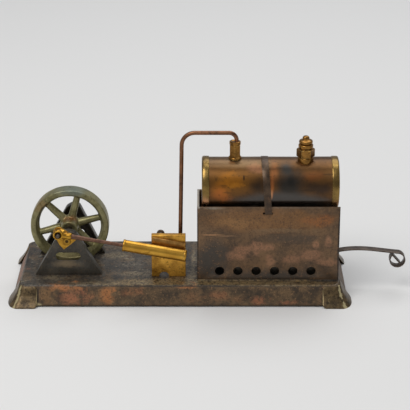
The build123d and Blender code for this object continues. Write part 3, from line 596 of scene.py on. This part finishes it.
def turned(points, base, axis, around, steps=4, loop=False):
    """Spins an eased profile about an axis through base, all in millimetres; a loop is a tube's closed section."""
    bm = bmesh.new()
    turn = Vector(axis).to_track_quat("Z", "Y").to_matrix()
    base = Vector(base)
    rings = []
    for r, along in eased(points, steps):
        rings.append([
            bm.verts.new((base + turn @ Vector((r * cos(a), r * sin(a), along))) * MM)
            for a in (2 * pi * k / around for k in range(around if r > 1e-6 else 1))
        ])
    pairs = list(zip(rings, rings[1:]))
    if loop:
        pairs.append((rings[-1], rings[0]))
    for low, high in pairs:
        for k in range(around):
            n = (k + 1) % around
            face = [low[k % len(low)], low[n % len(low)], high[n % len(high)], high[k % len(high)]]
            bm.faces.new(list(dict.fromkeys(face)))
    bmesh.ops.recalc_face_normals(bm, faces=bm.faces)
    return bm


def merged(node):
    """A copy of a CAD node with its loose triangles joined and its flats made whole."""
    bm = bmesh.new()
    bm.from_mesh(nodes[node].data)
    bmesh.ops.remove_doubles(bm, verts=bm.verts, dist=0.002 * MM)
    bmesh.ops.dissolve_limit(bm, angle_limit=radians(0.4), verts=bm.verts, edges=bm.edges)
    return bm


def broken_edges(bm, width, turn=34.0, steps=2):
    """Rounds every sharp edge off by a small width."""
    sharp = [e for e in bm.edges if len(e.link_faces) == 2 and e.calc_face_angle(0.0) > radians(turn)]
    bmesh.ops.bevel(bm, geom=sharp, offset=width * MM, offset_type="OFFSET", segments=steps, profile=0.5,
                    affect="EDGES", clamp_overlap=True)
    return bm


def dented(bm, depth, size, seed):
    """Pushes a surface in and out a little along its normals, as old sheet and castings are."""
    bm.normal_update()
    moves = [(v, v.normal * (noise.noise(v.co / (size * MM) + Vector((seed, 0, 0))) * depth * MM)) for v in bm.verts]
    for v, move in moves:
        v.co += move
    return bm


def mesh_of(shape):
    """A bmesh as a mesh; a mesh stays as it is."""
    if not isinstance(shape, bmesh.types.BMesh):
        return shape
    mesh = bpy.data.meshes.new("piece")
    shape.to_mesh(mesh)
    shape.free()
    return mesh


def joined(*shapes):
    """All the shapes in one bmesh."""
    bm = bmesh.new()
    for mesh in map(mesh_of, shapes):
        bm.from_mesh(mesh)
        bpy.data.meshes.remove(mesh)
    return bm


def plain_mesh(obj):
    """The evaluated result of an object's modifiers, as a mesh of its own; the object goes."""
    bpy.context.view_layer.update()
    graph = bpy.context.evaluated_depsgraph_get()
    mesh = bpy.data.meshes.new_from_object(obj.evaluated_get(graph), depsgraph=graph)
    bpy.data.objects.remove(obj)
    return mesh


def host(name, data):
    obj = bpy.data.objects.new(name, data)
    bpy.context.scene.collection.objects.link(obj)
    return obj


def cast(shape, voxel, passes):
    """Runs separate closed forms together into one casting, with soft inner corners."""
    obj = host("mould", mesh_of(shape))
    skin = obj.modifiers.new("skin", "REMESH")
    skin.mode = "VOXEL"
    skin.voxel_size = voxel * MM
    skin.adaptivity = 0.0
    soft = obj.modifiers.new("soft", "SMOOTH")
    soft.factor = 0.5
    soft.iterations = passes
    return joined(plain_mesh(obj))


def place(name, shape, node, smooth=38.0):
    """Puts a finished shape in the scene as a piece with a node's finish that rides on the node's body."""
    mesh = mesh_of(shape)
    mesh.name = name
    mesh.shade_smooth()
    mesh.set_sharp_from_angle(angle=radians(smooth))
    mesh.materials.clear()
    mesh.materials.append(finishes[node_slot[node]])
    obj = host(name, mesh)
    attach(obj, body_of_node[node])
    return obj


def stand_in(node, shape, smooth=38.0):
    """A finished shape that takes a CAD node's place, finish and body."""
    obj = place(node + "_finished", shape, node, smooth)
    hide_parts(node)
    return obj


def softened(node, width, smooth=38.0):
    return stand_in(node, broken_edges(merged(node), width), smooth)


# Geometry Nodes rules

def rule(name, **inputs):
    """An empty Geometry Nodes tree with named inputs for its sizes and one for its finish."""
    return web_of("GeometryNodeTree", name, ("Geometry", "Geometry"), {**inputs, "Material": "Finish"})


def end_rule(web, sizes, geometry):
    """Realizes what the rule made, gives it the finish and sends it out."""
    real = web.first("GeometryNodeRealizeInstances", {0: geometry})
    return web.end(web.first("GeometryNodeSetMaterial", {"Geometry": real, "Material": sizes["Finish"]}))


def grown(tree, **sizes):
    """Runs a rule with its own sizes, and gives the result as a plain mesh."""
    obj = host(tree.name, bpy.data.meshes.new(tree.name))
    run = obj.modifiers.new("rule", "NODES")
    run.node_group = tree
    for item in tree.interface.items_tree:
        if item.in_out == "INPUT":
            run[item.identifier] = sizes[item.name]
    return plain_mesh(obj)


def moved(web, geometry, **ways):
    return web.first("GeometryNodeTransform", {"Geometry": geometry, **ways})


def copies(web, points, piece, **ways):
    return web.first("GeometryNodeInstanceOnPoints", {"Points": points, "Instance": piece, **ways})


def wire(web, line, sides, radius, caps):
    """A round wire along a curve."""
    section = web.first("GeometryNodeCurvePrimitiveCircle", {"Resolution": sides, "Radius": radius})
    return web.first("GeometryNodeCurveToMesh", {"Curve": line, "Profile Curve": section, "Fill Caps": caps})


def cone(web, sides, segments, bottom, top, length):
    return web.first("GeometryNodeMeshCone", {
        "Vertices": sides, "Side Segments": segments, "Radius Bottom": bottom, "Radius Top": top, "Depth": length})


def row(web, sizes):
    """Points along X, by the rule's Count, Pitch and First."""
    step = web.first("ShaderNodeCombineXYZ", {"X": sizes["Pitch"]})
    ends = {"Count": sizes["Count"], "Start Location": sizes["First"], "Offset": step}
    return web.first("GeometryNodeMeshLine", ends, mode="OFFSET")


def spoke_rule():
    """Tapered spokes about the shaft, standing in the XZ plane."""
    web, sizes = rule("spokes", Int="Count", Float="Phase Start Length Root Tip", Vector="Centre")
    ring = web.first("GeometryNodeMeshCircle", {"Vertices": sizes["Count"], "Radius": sizes["Start"]})
    spoke = cone(web, 20, 12, sizes["Root"], sizes["Tip"], sizes["Length"])
    outward = web.first("GeometryNodeInputPosition", {})
    aim = web.first("FunctionNodeAlignRotationToVector", {"Vector": outward}, axis="Z")
    spin = web.first("ShaderNodeCombineXYZ", {"Z": sizes["Phase"]})
    star = moved(web, copies(web, ring, spoke, Rotation=aim), Rotation=spin)
    return end_rule(web, sizes, moved(web, star, Translation=sizes["Centre"], Rotation=(pi / 2, 0, 0)))


def coil_rule():
    """A coil of round wire about a line along Y."""
    web, sizes = rule("coil", Float="Turns Radius Length Wire", Vector="Start")
    line = web.first("GeometryNodeCurveSpiral", {
        "Resolution": 28, "Rotations": sizes["Turns"], "Start Radius": sizes["Radius"], "End Radius": sizes["Radius"],
        "Height": sizes["Length"]})
    coil = wire(web, line, 10, sizes["Wire"], True)
    return end_rule(web, sizes, moved(web, coil, Translation=sizes["Start"], Rotation=(-pi / 2, 0, 0)))


def lip_rule():
    """A row of rolled rings along X, each facing Y."""
    web, sizes = rule("hole_lips", Int="Count", Float="Pitch Radius Lip", Vector="First")
    ring = web.first("GeometryNodeCurvePrimitiveCircle", {"Resolution": 40, "Radius": sizes["Radius"]})
    lip = moved(web, wire(web, ring, 8, sizes["Lip"], False), Rotation=(pi / 2, 0, 0))
    return end_rule(web, sizes, copies(web, row(web, sizes), lip))


def tuft_rule():
    """Frayed wick ends: a bundle of short splayed strands on each of a row of tubes."""
    web, sizes = rule("wick_tufts", Int="Count Strands Seed", Float="Pitch Radius Length Thread", Vector="First")
    radius, thread, seed = sizes["Radius"], sizes["Thread"], sizes["Seed"]
    mouth = web.first("GeometryNodeMeshCircle", {"Vertices": 24, "Radius": radius}, fill_type="NGON")
    area = web.sums("MULTIPLY", web.sums("MULTIPLY", radius, radius), pi)
    density = web.sums("DIVIDE", sizes["Strands"], area)
    spread = web.first("GeometryNodeDistributePointsOnFaces", {"Mesh": mouth, "Density": density, "Seed": seed})
    strand = cone(web, 5, 3, thread, web.sums("MULTIPLY", thread, 0.5), sizes["Length"])
    lean = web.first("FunctionNodeRandomValue", {0: (-0.5, -0.5, 0.0), 1: (0.5, 0.5, 3.0), "Seed": seed},
                     data_type="FLOAT_VECTOR")
    bundle = copies(web, spread, strand, Rotation=lean)
    return end_rule(web, sizes, copies(web, row(web, sizes), bundle))


# Boiler

def boiler():
    wall, rings, around = 0.7, 40, 112
    back = shell_low.x - shell_high.x
    barrel = turned(
        [(boiler_r - wall, shell_low.x), (boiler_r - wall, shell_high.x)]
        + [(boiler_r, shell_high.x + back * k / rings) for k in range(rings + 1)],
        (0, boiler_mid.y, boiler_mid.z), X, around, loop=True)
    stand_in("boiler_shell", dented(barrel, 0.10, 26, 3.0))
    inner = boiler_r + 0.05
    for node, way in (("boiler_left_cap", -1), ("boiler_right_cap", 1)):
        low, high = span(node)
        length = high.x - low.x
        rim = (high.z - low.z) / 2
        mouth = high.x if way < 0 else low.x
        cap = turned([
            (0.0, length - 1.4), (inner, length - 1.4), (inner, 0.0), (rim - 0.2, 0.0, 0.2), (rim - 0.05, 0.7, 0.3),
            (rim, length * 0.6, 1.0), (rim - 0.3, length - 0.4, 1.6), (rim * 0.88, length + 0.1, 1.5),
            (rim * 0.76, length - 0.75, 1.2), (rim * 0.4, length - 0.35, 3.0), (0.0, length - 0.1),
        ], (mouth, boiler_mid.y, boiler_mid.z), (way, 0, 0), around, 6)
        stand_in(node, dented(cap, 0.10, 9, way * 5.0))


def strap():
    """A flat strip bent over the barrel; it leans a little to the left at the top."""
    narrow, foot, lean = 0.86, 0.5, 2.9
    bm = broken_edges(merged("boiler_strap"), 0.16)
    low, high = span("boiler_strap")
    mid = (low.x + high.x) / 2 * MM
    for v in bm.verts:
        t = max(0.0, min(1.0, (v.co.z / MM - low.z) / (high.z - low.z)))
        v.co.x = mid + (v.co.x - mid) * narrow + (foot - lean * t ** 1.3) * MM
    stand_in("boiler_strap", bm)


def hexagon(radius, low, high, centre, ease, phase=0.0):
    """A hexagon bar along Z with its corners turned off."""
    bm = bmesh.new()
    rings = []
    rise = ease * 0.6
    for r, z in ((radius - ease, low), (radius, low + rise), (radius, high - rise), (radius - ease, high)):
        rings.append([bm.verts.new(Vector((centre[0] + r * cos(a), centre[1] + r * sin(a), z)) * MM)
                      for a in (phase + pi / 3 * k for k in range(6))])
    for a, b in zip(rings, rings[1:]):
        for k in range(6):
            bm.faces.new((a[k], a[(k + 1) % 6], b[(k + 1) % 6], b[k]))
    bm.faces.new(rings[0][::-1])
    bm.faces.new(rings[-1])
    return broken_edges(bm, 0.25, 40)


def safety_valve():
    """A flanged seat cut to the barrel, a hexagon nut, two rolled collars and a domed stem."""
    softened("safety_valve_bush", 0.25, 40)
    low, high = span("safety_valve_body")
    cx, cy = (low.x + high.x) / 2, (low.y + high.y) / 2
    nut_top = high.z - 3.9
    nut = hexagon((high.x - low.x) / 2, low.z, nut_top, (cx, cy), 0.5)
    neck = turned([
        (0, nut_top - 0.4), (4.9, nut_top - 0.4), (4.9, nut_top + 0.6, 0.4), (5.65, nut_top + 0.9, 1.0),
        (5.65, high.z - 0.6, 1.0), (4.3, high.z - 0.1, 0.4), (0, high.z),
    ], (cx, cy, 0), Z, 56, 5)
    stand_in("safety_valve_body", joined(nut, neck), 30)
    low, high = span("safety_valve_cap")
    shoulder = high.z - 3.1
    stand_in("safety_valve_cap", turned([
        (0, low.z - 0.2), (4.2, low.z - 0.2), (4.3, low.z + 0.4, 0.3), (5.25, low.z + 0.7, 1.0),
        (5.25, shoulder - 0.7, 1.0), (3.1, shoulder - 0.05, 0.5), (2.7, shoulder + 0.2, 0.3),
        (2.75, high.z - 1.5, 1.0), (1.9, high.z - 0.3, 1.2), (0, high.z),
    ], (cx, cy, 0), Z, 56, 6))


def steam_union():
    """A round foot, a hexagon bar and a collar where the pipe goes in."""
    low, high = span("steam_union")
    cx, cy = (low.x + high.x) / 2, (low.y + high.y) / 2
    reach = (high.x - low.x) / 2
    foot = turned([
        (0, low.z + 0.6), (reach, low.z + 0.6), (reach, low.z + 1.7, 0.6), (reach - 0.9, low.z + 2.4, 0.5),
        (0, low.z + 2.5),
    ], (cx, cy, 0), Z, 48)
    bar = hexagon(4.55, low.z + 2.2, high.z - 2.6, (cx, cy), 0.25, radians(28))
    collar = turned([
        (0, high.z - 2.9), (4.1, high.z - 2.9), (4.35, high.z - 2.3, 0.4), (4.35, high.z - 0.3, 0.5),
        (3.4, high.z, 0.3), (2.2, high.z - 0.5, 0.3), (0, high.z - 0.5),
    ], (cx, cy, 0), Z, 48)
    stand_in("steam_union", joined(foot, bar, collar), 30)


# Flywheel, crank and shaft

SHAFT_BORE = 2.35


def on_shaft(y):
    return (shaft_mid.x, y, shaft_mid.z)


def flywheel():
    """One casting: a round-edged rim, a stepped boss and tapered spokes run into both."""
    boss_out, half, rim_deep = 11.5, 6.0, 6.5
    plane = wheel_low.y + boss_out
    inner = wheel_r - rim_deep
    centre = on_shaft(plane)
    rim = turned([
        (inner, 0.0), (inner, -1.2, 0.6), (wheel_r - 4.4, -half, 0.5), (wheel_r - 0.1, -half, 0.7),
        (wheel_r + 0.15, 0.0, 3.0), (wheel_r - 0.1, half, 0.7), (wheel_r - 4.4, half, 0.5), (inner, 1.2, 0.6),
    ], centre, Y, 160, loop=True)
    front, back = wheel_low.y - plane, wheel_high.y - plane
    boss = turned([
        (SHAFT_BORE, front + 0.9), (SHAFT_BORE, back), (6.2, back, 0.9), (6.7, 2.5, 2.0), (8.0, 1.6, 1.5),
        (8.2, -1.8, 1.5), (6.9, -3.4, 1.5), (6.6, front + 0.1, 0.8), (5.2, front, 0.8), (3.4, front + 0.9, 0.8),
    ], centre, Y, 96, loop=True)
    spokes = grown(spoke_rule(), Count=6, Phase=radians(75), Start=5.0 * MM, Length=(inner - 3.8) * MM,
                   Root=3.35 * MM, Tip=2.5 * MM, Centre=[c * MM for c in centre], Finish=finishes["wheel_brass"])
    stand_in("flywheel", dented(cast(joined(rim, boss, spokes), 0.44, 3), 0.14, 7, 11.0), 60)


def bar(node):
    """The near end, the radius and the length of a round node that lies along Y."""
    low, high = span(node)
    return low.y, (high.z - low.z) / 2, high.y - low.y


def crank():
    softened("crank_web", 0.22)
    place("shaft_rivet", turned([
        (0, 0.1), (1.45, 0.1), (1.5, 0.5, 0.15), (2.6, 0.5, 0.3), (2.95, 0.0), (2.95, -0.6), (0, -0.6),
    ], on_shaft(span("crank_web")[0].y), (0, -1, 0), 40, 3), "crank_web")
    near, r, length = bar("crankshaft")
    stand_in("crankshaft", turned([(0, 0.02), (r, 0.02), (r, length, 0.5), (0, length)], on_shaft(near), Y, 40))
    for node in ("front_bearing", "rear_bearing"):
        near, r, length = bar(node)
        stand_in(node, turned([
            (SHAFT_BORE, 0.2), (SHAFT_BORE, length - 0.2), (2.6, length, 0.2), (r - 0.1, length, 0.5), (r, 2.3, 0.2),
            (r - 0.1, 0.0, 0.5), (2.6, 0.0, 0.2),
        ], on_shaft(near), Y, 48, 3, True))


def rod():
    """The big end is a small rough casting on the rod; the pin goes through it into the web."""
    low, high = span("big_end")
    mid_y = (low.y + high.y) / 2
    half = (high.y - low.y) / 2
    eye_mid = (pin.x, mid_y, pin.z)
    eye = turned([
        (1.95, half - 0.05), (2.3, -half + 0.9, 0.5), (2.6, -half, 0.4), (3.9, -half, 0.9), (4.2, 0, 1.2),
        (3.7, half - 0.1, 0.9),
    ], eye_mid, Y, 64, loop=True)
    neck = turned([
        (0, 2.9), (2.6, 2.9), (2.75, 4.4, 0.8), (2.35, 6.2, 1.2), (2.85, 8.2, 1.0), (2.6, 10.3, 0.9), (0, 10.6),
    ], eye_mid, rod_line, 48)
    ear = turned([(0, -0.9), (2.3, -0.9, 0.5), (2.5, 0.9, 0.8), (0, 1.4)],
                 Vector((pin.x, mid_y + 0.4, pin.z + 2.6)) + rod_line * 2.6, (0.2, -0.4, 1), 32)
    stand_in("big_end", dented(cast(joined(eye, neck, ear), 0.3, 4), 0.22, 1.9, 6.0), 60)
    near, r, length = bar("crankpin")
    stand_in("crankpin", turned([
        (0, 0.0), (r * 0.7, 0.05, 0.3), (r, 0.6, 0.4), (r, length, 0.2), (0, length),
    ], (pin.x, near, pin.z), Y, 40))
    low, high = span("piston_rod")
    rod_r, uneven, swell, parts = 1.45, 0.08, 0.12, 16
    ends = Vector((high.x - low.x, 0, high.z - low.z)).length
    length = ends * cos(2 * atan2(rod_r, ends)) - 0.3
    stand_in("piston_rod", turned(
        [(0, -length / 2), (2.0, -length / 2, 0.2)]
        + [(rod_r - uneven * (k % 2) + swell * max(0, 5 - k), length * (k / parts - 0.5)) for k in range(1, parts)]
        + [(rod_r, length / 2, 0.2), (0, length / 2)], (low + high) / 2, rod_line, 32))


# Cylinder

def cylinder():
    base = (pivot.x, middle("cylinder_tube").y, pivot.z)
    left, right = -28.7, 18.7
    bore, outer, bead = 3.5, 4.55, 4.75
    tube = turned([
        (bore, left + 0.3), (3.7, left, 0.2), (4.45, left, 0.3), (bead, left + 0.35, 0.3), (bead, left + 1.5, 0.3),
        (outer, left + 1.8, 0.2), *((outer, left + 4 + k * 4.6) for k in range(9)), (outer, right - 0.02),
        (bore, right - 0.02),
    ], base, rod_line, 72, 3, True)
    stand_in("cylinder_tube", dented(tube, 0.06, 9, 21.0))
    stand_in("cylinder_end_cap", turned([
        (0, right), (outer, right), (4.78, right + 0.3, 0.3), (4.78, right + 1.6, 0.4), (4.2, right + 2.15, 0.5),
        (2.9, right + 2.2, 0.4), (0, right + 1.8),
    ], base, rod_line, 72))
    softened("port_plate", 0.25).data.materials[0] = finishes["worn_plate"]
    near, r, length = bar("pivot_spring")
    thick = 0.5
    coil = grown(coil_rule(), Turns=8.0, Radius=(r - thick) * MM, Length=(length - 2 * thick) * MM, Wire=thick * MM,
                 Start=(pivot.x * MM, (near + thick) * MM, pivot.z * MM), Finish=finishes["spring_steel"])
    stand_in("pivot_spring", coil, 60)
    near, r, length = bar("pivot_nut")
    stud_bore = 1.65
    knob = turned([
        (stud_bore, 0.0), (r - 0.5, 0.0, 0.4), (r, 0.8, 0.7), (r, length - 1.5, 1.0), (r * 0.62, length - 0.1, 0.9),
        (stud_bore, length),
    ], (pivot.x, near, pivot.z), Y, 48, loop=True)
    stand_in("pivot_nut", dented(knob, 0.12, 2.0, 8.0))


# Sheet pieces

def bracket(node, even, late, lean=0.0):
    """A bearing bracket: its flanks draw in towards the top, and its slot and bearing keep their size."""
    slot_half, slot_up, slot_reach, bearing_r, top_from = 10.4, 15.6, 4.2, 5.0, 0.72
    bm = broken_edges(merged(node), 0.3)
    low, high = span(node)
    for v in bm.verts:
        x, z = v.co.x / MM - shaft_mid.x, v.co.z / MM
        by_slot = abs(x) < slot_half and abs(z - plate_z - slot_up) < slot_reach
        if by_slot or Vector((x, z - shaft_mid.z)).length < bearing_r:
            continue
        t = (z - low.z) / (high.z - low.z)
        near_top = max(0.0, t - top_from) / (1 - top_from)
        shift = lean * near_top ** 1.5 if x < 0 else 0.0
        v.co.x = (shaft_mid.x + x * (1.02 - even * t - late * t * t) + shift) * MM
    stand_in(node, bm)


def pressed(node, smooth, turn):
    """Tray or foot with its corners drawn in along X, which leaves each foot a front lobe and a side lobe."""
    front_reach, side_reach, levels = 13, 15, 6
    bm = broken_edges(merged(node), 0.3, turn)
    low, high = span("foot_front_left")
    half = plate_mid - low

    def cut(spot, across):
        bmesh.ops.bisect_plane(bm, geom=bm.verts[:] + bm.edges[:] + bm.faces[:], dist=1e-7,
                               plane_co=Vector(spot) * MM, plane_no=across)

    for inset in (1, 2.5, 4, 6, 8, 10.5, 13, 16, 19, 22, 25):
        for way in (-1, 1):
            cut((plate_mid.x + way * (half.x - inset), 0, 0), X)
            cut((0, plate_mid.y + way * (half.y - inset), 0), Y)
    for level in range(1, levels):
        cut((0, 0, level / levels * high.z), Z)
    for v in bm.verts:
        spot = v.co / MM - plate_mid
        depth = min(1.0, max(0.0, 1 - v.co.z / MM / high.z))
        from_side = max(0.0, half.x - abs(spot.x) - FOOT_FLARE * (1 - depth))
        from_front = max(0.0, half.y - abs(spot.y) - FOOT_FLARE * (1 - depth))
        near_corner = max(0.0, 1 - from_front / front_reach) ** 1.5 * max(0.0, 1 - from_side / side_reach)
        pull = FOOT_PULL * depth * near_corner
        v.co.x -= (pull if spot.x > 0 else -pull) * MM
    stand_in(node, bm, smooth)


def sheet_work():
    """Tray, feet, firebox, saddles, brackets, block and burner, with the small trim on them."""
    pressed("base_tray", 30, 20)
    for corner in ("front_left", "front_right", "back_left", "back_right"):
        pressed("foot_" + corner, 44, 30)
    for wall in ("front_wall", "back_wall", "left_end", "right_end"):
        softened("firebox_" + wall, 0.16)
    low, high = span("firebox_left_end")
    wide, tall, short, down = 1.7, 1.1, 1.6, 0.45
    hem = bmesh.new()
    bmesh.ops.create_cube(hem, size=1.0)
    for v in hem.verts:
        v.co = Vector((low.x + (v.co.x + 0.5) * wide, (low.y + high.y) / 2 + v.co.y * (high.y - low.y - short),
                       high.z - down + v.co.z * tall)) * MM
    place("left_end_hem", broken_edges(hem, 0.5, steps=4), "firebox_left_end")
    for saddle in ("left", "right"):
        softened("boiler_saddle_" + saddle, 0.16)
    bracket("front_bracket", 0.09, 0.29)
    bracket("rear_bracket", 0.0, 0.1, 6.0)
    seam_r, inset = 0.5, 0.6
    seam_end = fire_high.x - fire_low.x - inset
    place("firebox_seam", turned([(0, inset), (seam_r, inset, 0.2), (seam_r, seam_end, 0.2), (0, seam_end)],
                                 (fire_low.x, fire_low.y - 0.25, plate_z + 0.35), X, 16), "base_tray")
    holes, pitch, hole_up, off_middle = 6, 14.13, 8.1, 2.0
    first_x = (fire_low.x + fire_high.x) / 2 - off_middle - (holes - 1) / 2 * pitch
    lips = grown(lip_rule(), Count=holes, Pitch=pitch * MM, Radius=3.82 * MM, Lip=0.24 * MM,
                 First=(first_x * MM, fire_low.y * MM, (plate_z + hole_up) * MM), Finish=finishes["firebox_tin"])
    place("air_hole_lips", lips, "firebox_front_wall", 60)
    for node, width in (("steam_block", 0.3), ("burner_tank", 0.3), ("burner_lid", 0.2), ("burner_handle", 0.14)):
        softened(node, width)
    low, high = span("wick_tubes")
    radius = (high.y - low.y) / 2
    tufts = grown(tuft_rule(), Count=3, Pitch=(high.x - low.x - 2 * radius) / 2 * MM, Radius=(radius - 1.0) * MM,
                  Strands=40, Length=3.0 * MM, Thread=0.22 * MM, Seed=4, Finish=finishes["burner_tin"],
                  First=((low.x + radius) * MM, (low.y + high.y) / 2 * MM, (high.z - 1.0) * MM))
    place("wick_tufts", tufts, "wick_tubes")


boiler()
strap()
safety_valve()
steam_union()
flywheel()
crank()
rod()
cylinder()
sheet_work()


# Studio

def floor_cloth():
    mat = bpy.data.materials.new("pale_floor")
    mat.use_nodes = True
    shader = mat.node_tree.nodes["Principled BSDF"].inputs
    shader["Base Color"].default_value = (0.72, 0.72, 0.72, 1)
    shader["Roughness"].default_value = 0.9
    shader["Specular IOR Level"].default_value = 0.1
    mesh = bpy.data.meshes.new("floor")
    s = 4.0
    mesh.from_pydata([(-s, -s, 0), (s, -s, 0), (s, s, 0), (-s, s, 0)], [], [(0, 1, 2, 3)])
    mesh.materials.append(mat)
    host("floor", mesh)


def lamp(name, spot, size, power, colour):
    """A round lamp that shines on the middle of the engine."""
    data = bpy.data.lights.new(name, "AREA")
    data.shape = "DISK"
    data.size = size
    data.energy = power
    data.color = colour
    obj = host(name, data)
    obj.location = spot
    obj.rotation_euler = (Vector((0, 0, 0.04)) - Vector(spot)).to_track_quat("-Z", "Y").to_euler()


def studio():
    scene = bpy.context.scene
    scene.view_settings.view_transform = "Standard"
    scene.world = bpy.data.worlds.new("studio")
    scene.world.use_nodes = True
    back = scene.world.node_tree.nodes["Background"].inputs
    back["Color"].default_value = (0.75, 0.765, 0.78, 1)
    back["Strength"].default_value = 0.42
    lamp("key", (-0.7, -0.9, 1.7), 1.4, 22, (1.0, 0.98, 0.95))
    lamp("top", (0.3, 0.7, 1.6), 1.6, 14, (1, 1, 1))
    floor_cloth()
    look_down = 22
    data = bpy.data.cameras.new("camera")
    data.sensor_width = 36
    data.lens = 144.5
    scene.camera = host("camera", data)
    scene.camera.location = ((fire_low.x + 6.0) * MM, -1.195, 0.5475)
    scene.camera.rotation_euler = (radians(90 - look_down), 0, 0)


studio()
